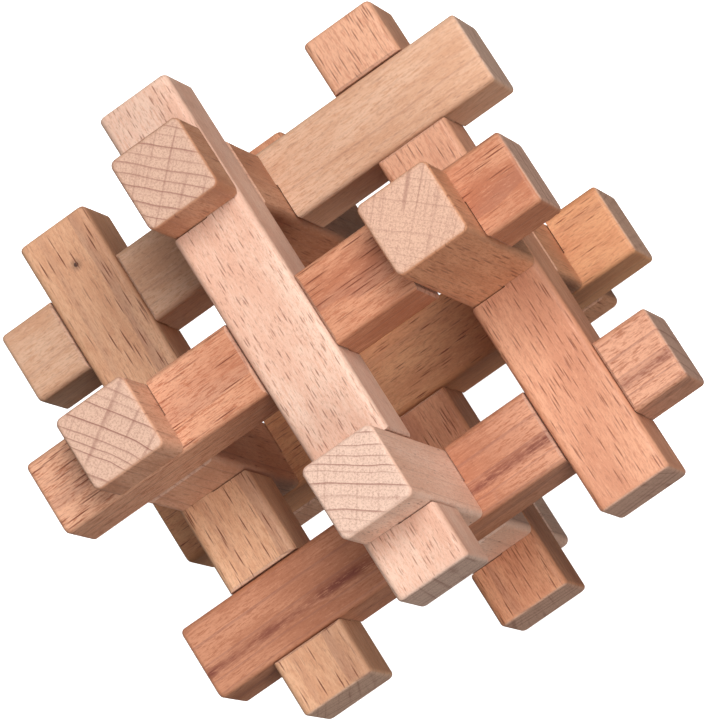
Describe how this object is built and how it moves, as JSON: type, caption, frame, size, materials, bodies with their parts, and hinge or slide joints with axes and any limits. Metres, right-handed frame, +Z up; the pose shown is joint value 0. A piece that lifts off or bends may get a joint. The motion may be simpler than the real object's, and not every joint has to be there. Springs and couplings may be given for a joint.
{
  "type": "wooden burr puzzle",
  "caption": "Open wooden burr puzzle: square beech sticks woven in three crossing frames with half-lap notches. Its sliding key stick is a guess.",
  "frame": {"origin": "the puzzle's centre, where the three frames' planes meet", "axes": "+Z up along the four uprights, +X along the bars named bar_x, +Y along the bars named bar_y"},
  "size_m": [0.083, 0.083, 0.083],
  "materials": {
    "wood_bar_x_top": "sanded, looks bare",
    "wood_bar_x_front": "sanded, looks bare",
    "wood_bar_x_back": "sanded, looks bare",
    "wood_bar_x_bottom": "sanded, looks bare",
    "wood_bar_y_left": "sanded, looks bare",
    "wood_bar_y_right": "sanded, looks bare",
    "wood_bar_y_top": "sanded, looks bare",
    "wood_bar_y_bottom": "sanded, looks bare",
    "wood_upright_left": "sanded, looks bare",
    "wood_upright_front": "sanded, looks bare",
    "wood_upright_right": "sanded, looks bare",
    "wood_upright_back": "sanded, looks bare"
  },
  "bodies": {
    "lattice": {"bar_x_top": "wood_bar_x_top", "bar_x_front": "wood_bar_x_front", "bar_x_back": "wood_bar_x_back", "bar_x_bottom": "wood_bar_x_bottom", "bar_y_left": "wood_bar_y_left", "bar_y_right": "wood_bar_y_right", "bar_y_top": "wood_bar_y_top", "bar_y_bottom": "wood_bar_y_bottom", "upright_left": "wood_upright_left", "upright_right": "wood_upright_right", "upright_back": "wood_upright_back"},
    "front_key": {"upright_front": "wood_upright_front"}
  },
  "joints": [
    {"name": "front_key_shift", "type": "slide", "parent": "lattice", "child": "front_key", "axis": [-1, 0, 0], "range_m": [0, 0.0063]}
  ]
}
